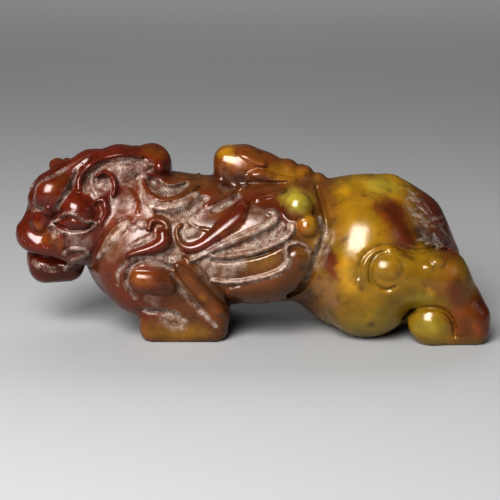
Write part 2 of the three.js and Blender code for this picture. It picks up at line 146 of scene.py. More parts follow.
def plume(p):
    w = (p[0], p[1] - PLUME_SIDE, p[2])
    d = limb(w, [(-1.0, 0, 20.7, 2.7), (1.2, 0, 20.1, 2.7), (6.5, 0, 18.6, 2.2)], 1.0, 1.2)
    d = smooth_min(d, rounded_block(w, (-1.7, 0, 20.6), (3.0, 2.9, 3.0), 1.9), 0.8)
    d = smooth_min(d, ellipsoid(w, (4.9, 0, 20.7), (1.3, 2.2, 1.2)), 0.5)
    d = smooth_min(d, ellipsoid(w, (6.9, 0, 19.9), (1.3, 2.2, 1.2)), 0.5)
    return smooth_min(d, ellipsoid(w, (8.8, 0, 19.1), (1.1, 1.9, 1.0)), 0.5)


def body(p):
    q = (p[0], np.abs(p[1]), p[2])
    d = smooth_min(trunk(p, q), hind_leg(q), 0.9)
    d = smooth_min(d, tail(p), 0.8)
    d = smooth_min(d, fore_leg(q), 1.0)
    d = smooth_min(d, wing_knob(q), 0.4)
    return smooth_min(d, plume(p), 0.6)


# Masses of the head. p is (forward, side, up) from the middle of the head, q folded onto one side.

def face(p, q):
    d = ellipsoid(p, (0.2, 0, 0.7), (7.6, 6.3, 6.0))
    d = smooth_min(d, ellipsoid(q, (2.6, 3.6, -1.6), (5.0, 2.9, 3.6)), 1.5)
    d = smooth_min(d, ellipsoid(p, (6.3, 0, -2.8), (4.6, 4.3, 2.1)), 1.2)
    nose = [(7.0, 0, 2.0, 2.0), (8.2, 0, -0.2, 1.7), (8.9, 0, -2.0, 2.3)]
    d = smooth_min(d, limb(p, nose, 1.0, 1.15), 0.8)
    d = smooth_min(d, ellipsoid(q, (7.8, 1.7, -2.5), (1.8, 1.4, 1.4)), 0.5)
    d = smooth_min(d, ellipsoid(q, (7.6, 1.7, 0.3), (2.0, 1.7, 1.9)), 0.5)
    d = smooth_min(d, ellipsoid(p, (6.8, 2.6, 4.1), (2.5, 2.1, 2.5)), 0.6)
    d = smooth_min(d, ellipsoid(p, (7.0, -2.2, 2.3), (2.2, 1.8, 2.3)), 0.6)
    d = smooth_min(d, pitched_ellipsoid(p, (4.4, -3.2, 5.0), (2.3, 1.5, 1.3), -30), 0.5)
    return smooth_min(d, pitched_ellipsoid(q, (3.7, 4.3, 2.8), (2.5, 2.3, 1.8), -25), 0.4)


def crest(p):
    ridge = [(8.4, 0, 2.6, 1.2), (7.2, 0, 4.4, 1.2), (5.2, 0, 5.7, 1.3),
             (1.8, 0, 6.8, 1.6), (-2.1, 0, 7.0, 1.8), (-6.6, 0, 6.9, 1.9)]
    d = limb(p, ridge, 1.0, 1.5)
    return smooth_min(d, limb(p, [(-6.5, 0, 6.9, 1.9), (-7.0, 0, 3.0, 2.2)], 1.0, 1.8), 1.0)


def lower_jaw(p, q):
    d = rounded_block(p, (6.2, 0, -6.3), (3.6, 3.2, 2.4), 2.2)
    return smooth_min(d, limb(q, [(5.0, 2.2, -5.4, 1.3), (0.8, 3.0, -2.2, 1.9)], 0.6), 0.6)


def mouth_line(p):
    """Line of the closed mouth, cut round the muzzle."""
    off = (p[2] + 4.75 - 0.1 * (p[0] - 8)) / MOUTH_HEIGHT
    return MOUTH_DEPTH * np.exp(-off * off) * fade(2.5, 5, p[0])


def head(p):
    q = (p[0], np.abs(p[1]), p[2])
    d = smooth_min(face(p, q), crest(p), 1.0)
    throat = limb(p, [(-1, 0, -3.0, 2.6), (6.4, 0, -4.6, 1.9)], 1.0)
    return np.minimum(smooth_min(d, lower_jaw(p, q), 0.3) + mouth_line(p), throat)


# Axes of the turned head, and how far the slanted line of sight shifts a point between drawing planes

FORWARD = np.array([-math.cos(HEAD_TURN), -math.sin(HEAD_TURN), 0])
SIDE = np.array([math.cos(HEAD_LEAN) * math.sin(HEAD_TURN),
                 -math.cos(HEAD_LEAN) * math.cos(HEAD_TURN), -math.sin(HEAD_LEAN)])
UP = np.array([math.sin(HEAD_LEAN) * math.sin(HEAD_TURN),
               -math.sin(HEAD_LEAN) * math.cos(HEAD_TURN), math.cos(HEAD_LEAN)])
SIGHT = np.array([0, math.cos(DRAWING_TILT), -math.sin(DRAWING_TILT)])
FORWARD_SHIFT = float(SIGHT @ FORWARD / (SIGHT @ SIDE))
UP_SHIFT = float(SIGHT @ UP / (SIGHT @ SIDE))


def to_head(p):
    q = [p[i] - HEAD_AT[i] for i in range(3)]
    return tuple(q[0] * float(a[0]) + q[1] * float(a[1]) + q[2] * float(a[2])
                 for a in (FORWARD, SIDE, UP))


# Carving. Each stroke is (kind, height, points), its points (along, up, half-width).
# lobe: raised and polished. ridge: raised and frosted. cut: sunk and frosted. line: sunk and polished.
# swell: raised only. matt: left frosted at its own level, its height being the frosted share.

def eye_strokes():
    return [
        ("ridge", 0.35, [(8.2, 1.1, 0.15), (7.1, 1.9, 0.2), (6.2, 2.6, 0.25), (5, 2.7, 0.25),
            (4.2, 2.4, 0.25), (3.6, 1.8, 0.2), (2.9, 1.4, 0.2), (2.1, 1.4, 0.15)]),
        ("lobe", 0.45, [(6.5, 1.6, 0.25), (5.6, 1.5, 0.6), (4.6, 1.2, 0.65), (3.5, 0.9, 0.45),
            (2.8, 0.9, 0.25)]),
        ("line", 0.4, [(7.3, 1.6, 0.2), (6.5, 1.1, 0.25), (5.6, 0.6, 0.25), (4.6, 0.3, 0.25),
            (3.5, 0.3, 0.25), (2.6, 0.6, 0.2), (2.1, 1.2, 0.2)]),
        ("ridge", 0.3, [(7.7, 1.5, 0.15), (6.7, 0.7, 0.2), (5.6, 0.1, 0.25), (4.4, -0.1, 0.25),
            (3.2, 0, 0.25), (2.2, 0.4, 0.2), (1.6, 1.2, 0.15)]),
    ]


def plate_strokes():
    return [
        ("cut", 0.35, [(10.4, 3.7, 0.25), (10, 5.1, 0.25), (9.9, 6.5, 0.25), (9.4, 7.3, 0.25),
            (8.4, 7.8, 0.25), (7.2, 8.4, 0.25), (6.2, 9.2, 0.25), (5.2, 10, 0.25)]),
        ("cut", 0.35, [(7, 3.5, 0.3), (6.5, 4.3, 0.35), (6, 5.1, 0.35), (5.6, 6, 0.35), (5.3, 7, 0.35),
            (5.1, 7.8, 0.3), (4.9, 8.7, 0.25)]),
        ("cut", 0.25, [(10, 3.7, 0.2), (8.7, 3.6, 0.25), (7.8, 3.3, 0.2)]),
    ]


def snout_strokes():
    return [
        ("line", 0.25, [(9.9, 3.2, 0.2), (11, 2.6, 0.2), (11.8, 1.9, 0.2), (12, 0.9, 0.2),
            (11.7, -0.1, 0.2), (10.9, -1, 0.2)]),
        ("lobe", 0.35, [(8.1, 3.3, 0.65), (8.6, 2.3, 0.85), (9.3, 1.2, 0.75)]),
        ("cut", 0.15, [(7.8, 0.8, 0.45), (7.1, 0.1, 0.55)]),
        ("line", 0.4, [(5.7, 0, 0.25), (5.6, -1.2, 0.25), (5.6, -2.1, 0.25), (6, -2.9, 0.2)]),
        ("lobe", 0.25, [(9.2, -1.4, 0.2), (8.4, -1.8, 0.25), (7.5, -2.1, 0.2)]),
    ]


def jaw_strokes():
    return [
        ("ridge", 0.3, [(5.9, -2.8, 0.25), (5.2, -2.3, 0.25), (4.1, -2.2, 0.25), (3.2, -2.4, 0.25),
            (2.6, -3, 0.25)]),
        ("ridge", 0.25, [(6.1, -5.1, 0.25), (5.4, -4.2, 0.3), (4, -3.6, 0.3), (3, -3.2, 0.25)]),
        ("cut", 0.2, [(10.3, -3.6, 0.35), (9.7, -4.2, 0.35)]),
        ("cut", 0.2, [(8.6, -4.6, 0.35), (7.5, -5, 0.35)]),
    ]


def ear_strokes():
    return [
        ("lobe", 0.7, [(2.1, 7.7, 0.2), (1.5, 8.1, 0.3), (0.9, 8.1, 0.35), (0.2, 7.6, 0.4),
            (-0.2, 6.8, 0.4), (-0.4, 5.8, 0.35), (-0.2, 4.8, 0.25)]),
        ("cut", 0.35, [(1.2, 6.4, 0.85), (1.1, 6.3, 0.85)]),
        ("ridge", 0.4, [(1.2, 6.5, 0.55), (1, 6.3, 0.55)]),
        ("ridge", 0.3, [(2.7, 8, 0.25), (2.7, 6.9, 0.3), (2.3, 5.8, 0.3), (1.7, 4.9, 0.3)]),
        ("lobe", 0.55, [(2.1, 3.9, 0.2), (1.6, 4.3, 0.3), (0.9, 4.3, 0.45), (0.6, 3.4, 0.5),
            (0.5, 2.5, 0.4), (0.8, 1.7, 0.3), (1.1, 0.9, 0.2)]),
    ]


def crest_strokes():
    return [
        ("cut", 0.3, [(5.2, 10, 0.25), (3.9, 10.8, 0.25), (2.5, 11.4, 0.3), (0.8, 11.5, 0.3),
            (-1, 11.8, 0.3), (-3.5, 11.5, 0.3)]),
        ("line", 0.3, [(4.9, 8.7, 0.25), (4, 9.6, 0.25), (2.9, 10.4, 0.25), (1.7, 11, 0.25),
            (0.1, 11.2, 0.25), (-1.5, 11.2, 0.2)]),
        ("lobe", 0.5, [(4.3, 6.1, 0.4), (4.4, 7.2, 0.45), (4, 8.3, 0.45), (3.3, 9.1, 0.45),
            (2.3, 9.9, 0.4), (0.9, 10.4, 0.4), (-0.6, 10.6, 0.35), (-2.1, 10.5, 0.3),
            (-3.5, 10.1, 0.25)]),
        ("cut", 0.5, [(3.2, 5.7, 0.4), (3.5, 7, 0.4), (3, 8.1, 0.4), (2.1, 8.8, 0.45),
            (0.9, 9.4, 0.45), (-0.6, 9.5, 0.5), (-2.1, 9.5, 0.55), (-3.5, 9.1, 0.55),
            (-4.5, 8.3, 0.45)]),
        ("ridge", 0.3, [(-2.2, 9.2, 0.2), (-3.2, 9, 0.3), (-4.1, 8.6, 0.4), (-4.6, 8.9, 0.4)]),
        ("lobe", 0.5, [(-5.9, 8.8, 0.75), (-6.1, 8.3, 0.75)]),
    ]


def neck_strokes():
    return [
        ("swell", 0.5, [(-16.1, 18.8, 1.75), (-15.6, 18.7, 1.75)]),
        ("lobe", 0.3, [(-15.6, 20.5, 0.2), (-14.8, 19.9, 0.25), (-14.2, 19.1, 0.3), (-13.8, 18.1, 0.3),
            (-13.9, 17.1, 0.25)]),
        ("ridge", 0.5, [(-13.8, 22.4, 0.4), (-13.6, 21, 0.5), (-13.1, 19.3, 0.55), (-12.3, 18.1, 0.6),
            (-10.9, 17.7, 0.55), (-9.4, 17.9, 0.55), (-8, 18.6, 0.55), (-6.8, 19.3, 0.5)]),
        ("lobe", 0.45, [(-13.6, 21.8, 0.25), (-13.1, 20.4, 0.3), (-12.3, 19.3, 0.35),
            (-11.3, 18.7, 0.35), (-10.1, 18.7, 0.35), (-8.7, 19.1, 0.35), (-7.5, 19.9, 0.3),
            (-6.7, 20.5, 0.25)]),
        ("cut", 0.75, [(-12.5, 21.4, 0.6), (-11.5, 20.4, 0.8), (-10.4, 19.9, 0.75), (-9.2, 20.2, 0.6),
            (-8.1, 20.8, 0.4)]),
        ("cut", 0.6, [(-11.4, 16.8, 0.5), (-9.8, 16.4, 0.6), (-8.2, 16.8, 0.75), (-6.7, 17.6, 0.75),
            (-5.7, 18.7, 0.6)]),
        ("line", 0.3, [(-7.9, 16.3, 0.2), (-7.2, 15.5, 0.2), (-6.3, 15, 0.2), (-5, 14.8, 0.2)]),
        ("ridge", 0.4, [(-19, 11.3, 0.3), (-18.1, 12.4, 0.45), (-17.3, 13.5, 0.6), (-16.4, 14.5, 0.7),
            (-15.7, 15.2, 0.65), (-15.2, 15.6, 0.45)]),
        ("line", 0.35, [(-19.9, 11.5, 0.2), (-19, 13, 0.25), (-17.9, 14.4, 0.3), (-16.7, 15.6, 0.3),
            (-15.7, 16.3, 0.25), (-14.8, 16.3, 0.2)]),
        ("ridge", 0.5, [(-13.5, 15.5, 0.55), (-13.1, 15.6, 0.55)]),
        ("ridge", 0.35, [(-14.5, 15, 0.4), (-14.3, 15.1, 0.4)]),
    ]


def wing_strokes():
    return [
        ("lobe", 0.6, [(-0.9, 17.9, 0.95), (-1.6, 16.8, 1.2), (-2.7, 15.5, 1.15), (-4.2, 14.1, 0.95),
            (-5.8, 12.9, 0.8), (-7.3, 12.4, 0.7), (-8.4, 12.9, 0.5), (-8.9, 13.9, 0.4),
            (-9, 14.8, 0.35), (-8.5, 15.5, 0.25)]),
        ("ridge", 0.45, [(-7.4, 14.5, 0.7), (-7, 14.5, 0.7)]),
        ("cut", 0.45, [(-4.7, 17.1, 0.4), (-3.6, 17.8, 0.45), (-2.5, 18.4, 0.45), (-1.5, 19.2, 0.35)]),
        ("lobe", 0.4, [(-5.7, 17.9, 0.3), (-4.5, 18.6, 0.4), (-3.3, 19.4, 0.4), (-1.8, 20.1, 0.4),
            (-0.3, 20.6, 0.35)]),
        ("lobe", 0.35, [(0.8, 18.7, 0.3), (1.8, 19.2, 0.35), (2.9, 19.5, 0.35), (4.3, 20, 0.3)]),
        ("ridge", 0.6, [(-7.4, 10.8, 0.25), (-6, 11.5, 0.4), (-4.5, 12.3, 0.5), (-2.8, 13.1, 0.55),
            (-1.1, 13.8, 0.6), (0.6, 14.6, 0.55), (2.1, 15.3, 0.55), (3.1, 16.2, 0.55), (2.9, 17, 0.4),
            (2.3, 17.1, 0.35)]),
        ("cut", 0.3, [(-2.9, 12.2, 0.3), (-0.9, 12.8, 0.4), (1.1, 13.4, 0.5), (2.7, 14.3, 0.5),
            (3.8, 15.4, 0.4)]),
        ("ridge", 0.5, [(-4.8, 11.5, 0.25), (-2.8, 11.4, 0.35), (-0.9, 11.7, 0.4), (1, 12.1, 0.4),
            (2.7, 12.8, 0.45), (4.2, 13.6, 0.45), (5.2, 14.6, 0.45), (5.2, 15.4, 0.4)]),
        ("line", 0.4, [(-4.7, 10.9, 0.25), (-2.7, 10.8, 0.25), (-0.7, 11.1, 0.25), (1.1, 11.5, 0.25),
            (2.7, 12.1, 0.25), (3.9, 12.8, 0.25)]),
        ("swell", 0.15, [(-3, 10.2, 0.5), (-0.9, 10.1, 0.9), (1.1, 10.3, 1.05), (2.8, 11.1, 1),
            (3.7, 12, 0.55)]),
        ("ridge", 0.5, [(-4.8, 8.3, 0.25), (-2.9, 8.1, 0.3), (-0.9, 8.2, 0.35), (1, 8.6, 0.35),
            (2.7, 9.1, 0.4), (4.1, 9.8, 0.4), (4.7, 10.7, 0.4), (4.5, 11.6, 0.35), (4.4, 12.4, 0.35),
            (5, 13, 0.35), (5.9, 13.1, 0.3), (6.8, 12.8, 0.3), (7.5, 12, 0.25)]),
        ("swell", 0.4, [(-2.4, 6.7, 0.75), (0.2, 6.9, 1.2), (2.5, 7.5, 1.45), (4.5, 8.5, 1.7),
            (5.8, 10.1, 1.7), (6, 11, 1.25)]),
        ("line", 0.6, [(8.5, 20.4, 0.4), (9.1, 18, 0.5), (9.4, 16.1, 0.55), (9.4, 14.2, 0.65),
            (8.7, 12.2, 0.7), (7.9, 10.3, 0.7), (7.2, 8.5, 0.7), (6.3, 7.2, 0.55), (4.9, 6.3, 0.4)]),
        ("cut", 0.2, [(8.7, 16.3, 0.3), (9.1, 14.4, 0.4), (8.3, 12.2, 0.4), (7.5, 10.2, 0.4),
            (6.8, 8.4, 0.35)]),
    ]


def leg_strokes():
    return [
        ("lobe", 0.6, [(-8.9, 10.2, 0.6), (-7.8, 8.9, 0.9), (-6.6, 7.5, 1), (-5.3, 6, 1.05),
            (-3.9, 4.5, 1)]),
        ("cut", 0.4, [(-9.6, 8.9, 0.3), (-8.7, 7.5, 0.4), (-7.6, 6.1, 0.4), (-6.4, 4.6, 0.35),
            (-5.1, 3.3, 0.3), (-4.3, 2.4, 0.25)]),
        ("line", 0.35, [(-8.3, 11.4, 0.2), (-6.5, 10, 0.25), (-5, 8.4, 0.25), (-3.5, 6.7, 0.25),
            (-2.3, 4.9, 0.2)]),
        ("lobe", 0.75, [(-13.7, 8.3, 1.25), (-12.1, 8, 1.45), (-10.3, 7.8, 1.4)]),
        ("cut", 0.6, [(-9.6, 10, 0.3), (-10.7, 10.4, 0.4), (-12, 10.9, 0.4), (-13.4, 10.8, 0.4),
            (-14.5, 10.2, 0.35), (-15.1, 9.2, 0.35), (-15.3, 8.2, 0.35), (-15, 7.1, 0.3),
            (-14.3, 6.2, 0.3)]),
        ("cut", 0.35, [(-14.2, 11.1, 0.4), (-12.7, 11.5, 0.45), (-11.3, 11.4, 0.55), (-10, 11.6, 0.7),
            (-9.1, 12.5, 0.6)]),
        ("cut", 0.2, [(-16.4, 7.8, 0.2), (-16.4, 8.9, 0.2), (-16, 9.8, 0.25), (-15.2, 10.6, 0.2)]),
        ("lobe", 0.95, [(-10.6, 14.3, 0.9), (-10.5, 13.4, 1), (-11.4, 12.7, 0.95), (-12.8, 12.2, 0.7),
            (-14, 11.9, 0.45), (-15, 11.5, 0.3)]),
        ("ridge", 0.35, [(-14.5, 12.8, 0.2), (-13.5, 13.3, 0.4), (-12.5, 13.7, 0.45), (-12, 14, 0.4)]),
        ("lobe", 0.7, [(-12.4, 14.9, 0.35), (-12.1, 15.9, 0.45), (-11.3, 16.2, 0.6),
            (-10.6, 15.9, 0.55), (-10, 15, 0.35)]),
        ("cut", 0.4, [(-13.5, 4.6, 0.3), (-12.3, 4.4, 0.4), (-10.9, 4.3, 0.4), (-9.5, 4, 0.4),
            (-8.3, 3.3, 0.3)]),
    ]


def haunch_strokes():
    return [
        ("line", 0.35, [(13.3, 8.7, 0.25), (13.4, 10.2, 0.3), (14, 11.5, 0.35), (15.1, 12.4, 0.35),
            (16.6, 12.8, 0.35), (18.4, 12.7, 0.3), (20.1, 12.2, 0.25)]),
        ("line", 0.4, [(17.9, 7.7, 0.2), (16.9, 7.2, 0.3), (15.8, 7.5, 0.3), (14.9, 8.4, 0.35),
            (14.7, 9.6, 0.35), (14.9, 10.8, 0.35), (15.6, 11.7, 0.3), (16.6, 12.1, 0.3)]),
        ("lobe", 0.45, [(16.6, 9.9, 1.5), (17.2, 9.9, 1.5)]),
        ("lobe", 0.45, [(22.9, 10.9, 0.75), (23.4, 10.7, 0.75)]),
        ("lobe", 0.3, [(21.8, 10.1, 0.5), (22.1, 9.9, 0.5)]),
        ("line", 0.45, [(18.3, 12.4, 0.3), (20, 12.1, 0.4), (21.5, 12.1, 0.45), (23, 12.4, 0.4),
            (24.8, 12.2, 0.35)]),
        ("line", 0.5, [(19.4, 3.3, 0.3), (20.1, 4.1, 0.35), (21.3, 4.6, 0.4), (22.7, 4.8, 0.4),
            (24.1, 4.4, 0.4), (25, 3.6, 0.35), (25.5, 2.4, 0.35), (25.6, 1.1, 0.3)]),
    ]


def plume_strokes():
    return [
        ("line", 0.35, [(-0.5, 22.4, 0.2), (0.8, 23, 0.25), (2.2, 22.8, 0.25), (3.6, 22.3, 0.25),
            (5.2, 22, 0.2)]),
        ("lobe", 0.5, [(0.4, 22, 0.5), (1.6, 22, 0.75), (3.3, 21.8, 0.8), (5.2, 21.8, 0.75),
            (6.8, 22.1, 0.6)]),
        ("line", 0.3, [(-0.3, 21.1, 0.2), (1.3, 21, 0.25), (2.9, 21, 0.25), (4.7, 21.1, 0.2)]),
        ("lobe", 0.4, [(-0.9, 24.7, 0.5), (0.5, 24, 0.6), (1.8, 23.5, 0.5)]),
        ("line", 0.5, [(-3, 22.4, 0.75), (-2.5, 21.3, 0.9), (-1.8, 20.3, 0.6)]),
    ]


def rump_strokes():
    """Short scratches, left by the tool in a tilted patch behind the haunch."""
    chance = np.random.default_rng(RUMP_SEED)
    marks = []
    for _ in range(26):
        along, across = chance.uniform(-1, 1, 2)
        x, up = 22.0 + 2.6 * along + 1.2 * across, 16.0 - 3.0 * along + 1.4 * across
        turn = math.radians(chance.choice((-50, 20)) + chance.uniform(-15, 15))
        reach = chance.uniform(0.5, 1.1)
        dx, dup = reach * math.cos(turn), reach * math.sin(turn)
        marks.append(("cut", 0.12, [(x - dx, up - dup, 0.1), (x, up, 0.16), (x + dx, up + dup, 0.1)]))
    return marks


def head_matt():
    return [
        ("matt", 0.9, [(-0.3, 8.4, 1.1), (-2.1, 7.6, 1.4), (-3.3, 6.3, 1)]),
        ("matt", 0.45, [(4.8, -1.1, 0.8), (3.2, -1.3, 0.9)]),
        ("matt", 0.8, [(2.3, 6.8, 0.6), (1.8, 5.2, 0.6)]),
        ("matt", 0.7, [(-0.1, 3.5, 0.9), (0, 1.5, 0.8)]),
        ("matt", 0.4, [(5.2, -4, 0.6), (3.8, -3.4, 0.6)]),
    ]


def body_matt():
    return [
        ("matt", 0.6, [(-16.5, 20.3, 1.5), (-15.7, 18.2, 1.6)]),
        ("matt", 1, [(-13.1, 18.7, 1.1), (-11.1, 17.1, 1.2), (-8.2, 17, 1.5), (-5.8, 18, 1)]),
        ("matt", 0.9, [(-12.8, 20, 0.8), (-13.4, 21.9, 0.6)]),
        ("matt", 1, [(-9.1, 15, 0.6), (-8.9, 13, 0.8), (-9.8, 11.5, 0.9), (-12.3, 11, 0.6)]),
        ("matt", 0.9, [(-6.4, 11.4, 0.8), (-4.4, 11.5, 0.9), (-2.7, 13, 0.8)]),
        ("matt", 0.7, [(-5.5, 10.2, 0.9), (-3.5, 9.7, 1), (-1.2, 10.7, 0.9)]),
        ("matt", 0.4, [(-4.7, 8.7, 0.8), (-3, 8.8, 0.6)]),
        ("matt", 0.5, [(1.5, 13.1, 1), (3.2, 14.1, 0.9)]),
        ("matt", 0.35, [(0, 17.1, 0.8), (1, 16.6, 0.8)]),
        ("matt", 0.5, [(-12.4, 5.9, 0.6), (-11.7, 5.7, 0.6)]),
        ("matt", 0.55, [(-10.3, 3.5, 1), (-9, 2.7, 1)]),
        ("matt", 0.5, [(8.1, 10.7, 0.9), (9.4, 14, 0.9)]),
        ("matt", 0.2, [(20.4, 18.1, 1.0), (21.8, 15.9, 1.3), (24, 13.5, 1.0)]),
        ("matt", 0.25, [(-17.1, 11.8, 0.9), (-15.5, 13.1, 1.1), (-13.8, 14.2, 0.9)]),
    ]


def smooth_line(points, parts=5):
    """Curve through the points of a stroke, with its widths."""
    knots = np.array(points, float)
    if len(knots) < 3:
        return knots
    ends = np.vstack([2 * knots[0] - knots[1], knots, 2 * knots[-1] - knots[-2]])
    curve = []
    for a, b, c, d in zip(ends, ends[1:], ends[2:], ends[3:]):
        for t in np.arange(parts) / parts:
            bend = (2 * a - 5 * b + 4 * c - d) * t ** 2 + (3 * b - a - 3 * c + d) * t ** 3
            curve.append(0.5 * (2 * b + (c - a) * t + bend))
    curve.append(knots[-1])
    return np.array(curve)


def across_stroke(u, v, line):
    """Distance from the middle of a stroke, 1 at its edge, and the way along it in millimetres."""
    best = np.full(u.shape, 9.0)
    along = np.zeros(u.shape)
    travelled = 0.0
    for a, b in zip(line, line[1:]):
        du, dv = b[0] - a[0], b[1] - a[1]
        length = math.hypot(du, dv)
        t = np.clip(((u - a[0]) * du + (v - a[1]) * dv) / length ** 2, 0, 1)
        q = np.hypot(u - a[0] - t * du, v - a[1] - t * dv) / (a[2] + (b[2] - a[2]) * t)
        closer = q < best
        along = np.where(closer, travelled + t * length, along)
        best = np.where(closer, q, best)
        travelled += length
    return best, along


FLANK_STROKES = (neck_strokes() + wing_strokes() + plume_strokes() + leg_strokes()
                 + haunch_strokes() + rump_strokes() + body_matt())
HEAD_STROKES = (eye_strokes() + plate_strokes() + snout_strokes() + jaw_strokes()
                + ear_strokes() + crest_strokes() + head_matt())
FLANK_CARVING = [(kind, height, smooth_line(points)) for kind, height, points in FLANK_STROKES]
HEAD_CARVING = [(kind, height, smooth_line(points)) for kind, height, points in HEAD_STROKES]


def carve(u, v, carving):
    """Height of the carving over points of a drawing plane, with its frosted, polished and ticked shares."""
    raised, sunk, frost, polish, tick, way = (np.zeros(u.shape) for _ in range(6))
    for kind, height, line in carving:
        margin = 1.6 * line[:, 2].max()
        low, high = line.min(0) - margin, line.max(0) + margin
        near = (u > low[0]) & (u < high[0]) & (v > low[1]) & (v < high[1])
        if not near.any():
            continue
        q, along = across_stroke(u[near], v[near], line)
        if kind in ("lobe", "ridge", "swell"):
            raised[near] = np.maximum(raised[near], height * np.clip(1 - q * q, 0, 1) ** 0.7)
        if kind in ("cut", "line"):
            sunk[near] = np.maximum(sunk[near], height * np.clip(1 - 0.8 * q * q, 0, 1) ** 1.5)
        if kind == "lobe":
            polish[near] = np.maximum(polish[near], fade(1.15, 0.8, q))
        if kind == "ridge":
            frost[near] = np.maximum(frost[near], 0.8 * fade(1.3, 0.9, q))
        if kind == "matt":
            frost[near] = np.maximum(frost[near], height * fade(1.6, 0.7, q))
        if kind == "cut":
            share = fade(1.4, 0.8, q)
            frost[near] = np.maximum(frost[near], share)
            stronger = share > tick[near]
            way[near] = np.where(stronger, along, way[near])
            tick[near] = np.maximum(tick[near], share)
    return raised - sunk, frost, polish, tick, way


def stone(p, details=False):
    """Field of the stone, negative inside. With details, also the shares carve() gives."""
    h = to_head(p)
    body_field, head_field = body(p), head(h)
    field = smooth_min(body_field, head_field, 0.5)
    near = np.abs(field) < CARVING_REACH
    q = [c[near] for c in p]
    g = [c[near] for c in h]
    body_share = fade(-0.8, 0.8, (head_field - body_field)[near])
    side = np.abs(q[1])
    up = q[2] - math.tan(DRAWING_TILT) * (side - FLANK_PLANE)
    flank = carve(q[0], up, FLANK_CARVING)
    head_side = np.abs(g[1])
    shift = HEAD_PLANE - head_side
    crown = carve(g[0] + shift * FORWARD_SHIFT, g[2] + shift * UP_SHIFT, HEAD_CARVING)
    flank_share = fade(0.6, 3, side) * body_share
    far_crest = fade(0, -0.8, g[1]) * fade(5.2, 7.2, g[2])
    crown_share = fade(0.3, 2, head_side) * (1 - 0.75 * far_crest) * (1 - body_share)
    field[near] -= flank[0] * flank_share + crown[0] * crown_share
    if not details:
        return field
    shares = []
    for of_flank, of_crown in zip(flank[1:4], crown[1:4]):
        share = np.zeros(field.shape)
        share[near] = of_flank * flank_share + of_crown * crown_share
        shares.append(share)
    way = np.zeros(field.shape)
    way[near] = np.where(flank_share * flank[3] > crown_share * crown[3], flank[4], crown[4])
    return field, (*shares, way)


# Surface of the field on a grid: one corner per crossed cell, joined by quads

def grid_line(stops):
    values = [np.array([stops[0][0]])]
    for (start, step), (end, _) in zip(stops, stops[1:]):
        count = round((end - start) / step)
        values.append(start + (end - start) * np.arange(1, count + 1) / count)
    return np.concatenate(values)


def sample(lines):
    value = np.empty([len(line) for line in lines])
    for i in range(0, len(lines[0]), SLAB):
        slab = np.meshgrid(lines[0][i:i + SLAB], lines[1], lines[2], indexing="ij")
        value[i:i + SLAB] = np.maximum(stone(slab), -slab[2])
    return value


def surface(value, lines):
    inside = value < 0
    size = [n - 1 for n in value.shape]
    count = np.zeros(size, int)
    for a in (0, 1):
        for b in (0, 1):
            for c in (0, 1):
                count += inside[a:size[0] + a, b:size[1] + b, c:size[2] + c]
    crossed = (count > 0) & (count < 8)
    cells = np.argwhere(crossed)
    number = np.full(crossed.shape, -1)
    number[crossed] = np.arange(len(cells))
    total = np.zeros((len(cells), 3))
    crossings = np.zeros(len(cells))
    for axis in range(3):
        others = [i for i in range(3) if i != axis]
        for first in (0, 1):
            for second in (0, 1):
                start = cells.copy()
                start[:, others[0]] += first
                start[:, others[1]] += second
                end = start.copy()
                end[:, axis] += 1
                v0, v1 = value[tuple(start.T)], value[tuple(end.T)]
                crossing = (v0 < 0) != (v1 < 0)
                t = np.where(crossing, v0 / np.where(crossing, v0 - v1, 1), 0)
                for i in range(3):
                    at = lines[i][start[:, i]]
                    total[:, i] += crossing * (at + t * (lines[i][end[:, i]] - at))
                crossings += crossing
    corners = total / crossings[:, None]
    quads = []
    for axis in range(3):
        b, c = (axis + 1) % 3, (axis + 2) % 3
        step = np.zeros(3, int)
        step[axis] = 1
        edges = np.argwhere(np.take(inside, range(size[axis]), axis)
                            != np.take(inside, range(1, size[axis] + 1), axis))
        edges = edges[(edges[:, b] > 0) & (edges[:, c] > 0) & (edges[:, b] < size[b]) & (edges[:, c] < size[c])]
        outward = value[tuple(edges.T)] < 0
        ring = []
        for back, down in ((1, 1), (0, 1), (0, 0), (1, 0)):
            near = edges.copy()
            near[:, b] -= back
            near[:, c] -= down
            ring.append(number[tuple(near.T)])
        ring = np.stack(ring, 1)
        quads.append(np.where(outward[:, None], ring, ring[:, ::-1]))
    return corners, np.concatenate(quads)


def settle(corners, rounds=2, step=0.04, most=0.12):
    """Moves the corners onto the surface along its slope; those on the soles stay."""
    free = corners[:, 2] > 0.15
    for _ in range(rounds):
        p = corners[free]
        slope = np.empty_like(p)
        for axis in range(3):
            ahead, behind = p.copy(), p.copy()
            ahead[:, axis] += step
            behind[:, axis] -= step
            slope[:, axis] = (stone(list(ahead.T)) - stone(list(behind.T))) / (2 * step)
        steep = np.maximum((slope ** 2).sum(1), 0.25)
        move = np.clip(stone(list(p.T)) / steep, -most, most)
        corners[free] = p - move[:, None] * slope
    return corners


def drop_loose(corners, quads):
    """Keeps the corners that hang together in the piece with the most quads, the outer skin."""
    label = np.arange(len(corners))
    while True:
        lowest = label[quads].min(1)
        fresh = label.copy()
        for k in range(4):
            np.minimum.at(fresh, quads[:, k], lowest)
        fresh = np.minimum(fresh, fresh[fresh])
        if (fresh == label).all():
            break
        label = fresh
    names, counts = np.unique(label[quads[:, 0]], return_counts=True)
    quads = quads[label[quads[:, 0]] == names[counts.argmax()]]
    used = np.unique(quads)
    place = np.full(len(corners), -1)
    place[used] = np.arange(len(used))
    return corners[used], place[quads]


# Colours of the stone, linear red, green and blue

